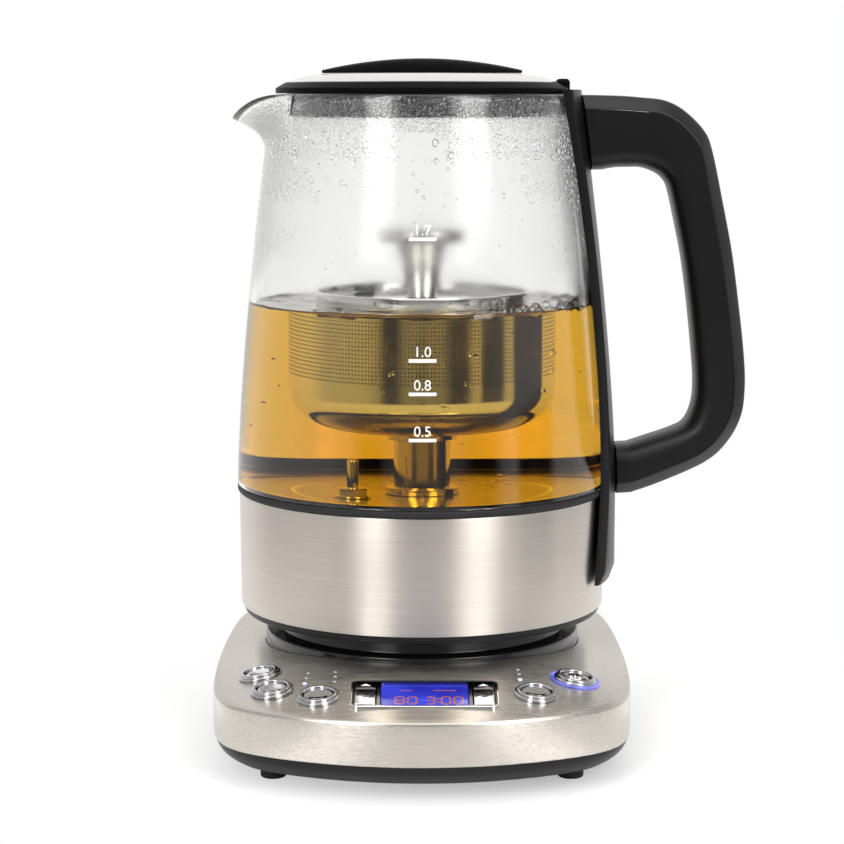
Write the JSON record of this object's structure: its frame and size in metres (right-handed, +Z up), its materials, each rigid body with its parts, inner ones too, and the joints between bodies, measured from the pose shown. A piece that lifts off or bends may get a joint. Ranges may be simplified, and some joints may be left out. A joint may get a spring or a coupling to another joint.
{
  "type": "automatic tea maker",
  "caption": "Glass electric kettle with a lifting tea infuser basket, lid and side handle, standing on a control base with buttons and a display.",
  "frame": {"origin": "on the table, under the middle of the whole object's outline seen from above", "axes": "+Z up, -Y towards the user and the control panel, +X towards the kettle's handle, -X towards its spout"},
  "size_m": [0.2158, 0.22, 0.275],
  "materials": {
    "brushed_steel": "fine horizontal brushing",
    "polished_steel": "polished stainless",
    "satin_black_plastic": "satin moulded",
    "gloss_black_plastic": "gloss moulded",
    "black_rubber": "matte moulded",
    "clear_glass": "clear borosilicate",
    "clear_silicone": "translucent soft",
    "chrome": "bright plated",
    "smoke_plastic": "clear smoked",
    "blue_display": "backlit display",
    "light_pipe": "translucent light pipe",
    "green_board": "circuit board",
    "grey_metal": "plain metal"
  },
  "bodies": {
    "base": {"base_cover": "brushed_steel", "base_tray": "satin_black_plastic", "foot_front_left": "black_rubber", "foot_front_right": "black_rubber", "foot_back_left": "black_rubber", "foot_back_right": "black_rubber", "tray_screw_1": "grey_metal", "tray_screw_2": "grey_metal", "tray_screw_3": "grey_metal", "tray_screw_4": "grey_metal", "turret_ring": "gloss_black_plastic", "power_plug": "satin_black_plastic", "power_halo": "light_pipe", "indicator_left": "light_pipe", "indicator_middle": "light_pipe", "indicator_right": "light_pipe", "display_bezel": "gloss_black_plastic", "display_window": "smoke_plastic", "display_panel": "blue_display", "control_board": "green_board", "cord_gland": "black_rubber", "brew_button_ring": "chrome", "warm_button_ring": "chrome", "auto_button_ring": "chrome", "start_button_ring": "chrome", "power_button_ring": "chrome"},
    "socket": {"jug_socket": "satin_black_plastic"},
    "jug": {"jug_band": "brushed_steel", "jug_seal_ring": "black_rubber", "heating_plate": "brushed_steel", "jug_underside": "satin_black_plastic", "jug_glass": "clear_glass", "heating_element": "grey_metal", "centre_post": "polished_steel", "temperature_probe": "polished_steel", "lift_motor": "grey_metal", "handle_strap": "satin_black_plastic", "handle_cover": "satin_black_plastic", "handle_core": "satin_black_plastic"},
    "lid": {"lid_rim": "satin_black_plastic", "lid_plate": "polished_steel", "lid_plug": "gloss_black_plastic", "lid_gasket": "clear_silicone", "lid_grip": "satin_black_plastic"},
    "basket": {"basket_body": "polished_steel", "basket_sleeve": "polished_steel"},
    "basket_lid": {"basket_lid": "polished_steel", "basket_knob": "polished_steel"},
    "carrier": {"magnet_carrier": "grey_metal"},
    "lift_screw": {"lift_screw": "polished_steel"},
    "brew_button": {"brew_button": "chrome"},
    "warm_button": {"warm_button": "chrome"},
    "auto_button": {"auto_button": "chrome"},
    "start_button": {"start_button": "chrome"},
    "power_button": {"power_button": "chrome"},
    "temperature_up_key": {"temperature_up_key": "chrome"},
    "temperature_down_key": {"temperature_down_key": "chrome"},
    "time_up_key": {"time_up_key": "chrome"},
    "time_down_key": {"time_down_key": "chrome"}
  },
  "joints": [
    {"name": "jug_lift", "type": "slide", "parent": "base", "child": "socket", "axis": [0, 0, 1], "range_m": [0, 0.12]},
    {"name": "jug_swivel", "type": "hinge", "parent": "socket", "child": "jug", "pos_m": [-0.0245, 0.012, 0], "axis": [0, 0, 1], "continuous": true},
    {"name": "lid_lift", "type": "slide", "parent": "jug", "child": "lid", "axis": [0, 0, 1], "range_m": [0, 0.06]},
    {"name": "basket_lift", "type": "slide", "parent": "jug", "child": "basket", "axis": [0, 0, 1], "range_m": [0, 0.04]},
    {"name": "basket_lid_lift", "type": "slide", "parent": "basket", "child": "basket_lid", "axis": [0, 0, 1], "range_m": [0, 0.04]},
    {"name": "carrier_lift", "type": "slide", "parent": "jug", "child": "carrier", "axis": [0, 0, 1], "range_m": [0, 0.04]},
    {"name": "lift_screw_turn", "type": "hinge", "parent": "jug", "child": "lift_screw", "pos_m": [-0.0245, 0.012, 0], "axis": [0, 0, 1], "range_deg": [0, 720]},
    {"name": "brew_press", "type": "slide", "parent": "base", "child": "brew_button", "axis": [0.1825, 0.039, -0.9824], "range_m": [0, 0.001], "stiffness_N_per_m": 800},
    {"name": "warm_press", "type": "slide", "parent": "base", "child": "warm_button", "axis": [0.1052, 0.1222, -0.9869], "range_m": [0, 0.001], "stiffness_N_per_m": 800},
    {"name": "auto_press", "type": "slide", "parent": "base", "child": "auto_button", "axis": [0.0599, 0.1512, -0.9867], "range_m": [0, 0.001], "stiffness_N_per_m": 800},
    {"name": "start_press", "type": "slide", "parent": "base", "child": "start_button", "axis": [-0.0664, 0.1457, -0.9871], "range_m": [0, 0.001], "stiffness_N_per_m": 800},
    {"name": "power_press", "type": "slide", "parent": "base", "child": "power_button", "axis": [-0.1472, 0.075, -0.9863], "range_m": [0, 0.001], "stiffness_N_per_m": 800},
    {"name": "temperature_up_press", "type": "slide", "parent": "base", "child": "temperature_up_key", "axis": [-0.0017, 0.1544, -0.988], "range_m": [0, 0.0008], "stiffness_N_per_m": 800},
    {"name": "temperature_down_press", "type": "slide", "parent": "base", "child": "temperature_down_key", "axis": [-0.0017, 0.1544, -0.988], "range_m": [0, 0.0008], "stiffness_N_per_m": 800},
    {"name": "time_up_press", "type": "slide", "parent": "base", "child": "time_up_key", "axis": [-0.0017, 0.1544, -0.988], "range_m": [0, 0.0008], "stiffness_N_per_m": 800},
    {"name": "time_down_press", "type": "slide", "parent": "base", "child": "time_down_key", "axis": [-0.0017, 0.1544, -0.988], "range_m": [0, 0.0008], "stiffness_N_per_m": 800}
  ],
  "couplings": [
    {"joint": "carrier_lift", "follows": "basket_lift", "ratio": 1},
    {"joint": "lift_screw_turn", "follows": "basket_lift", "rad_per_m": 314.16}
  ]
}
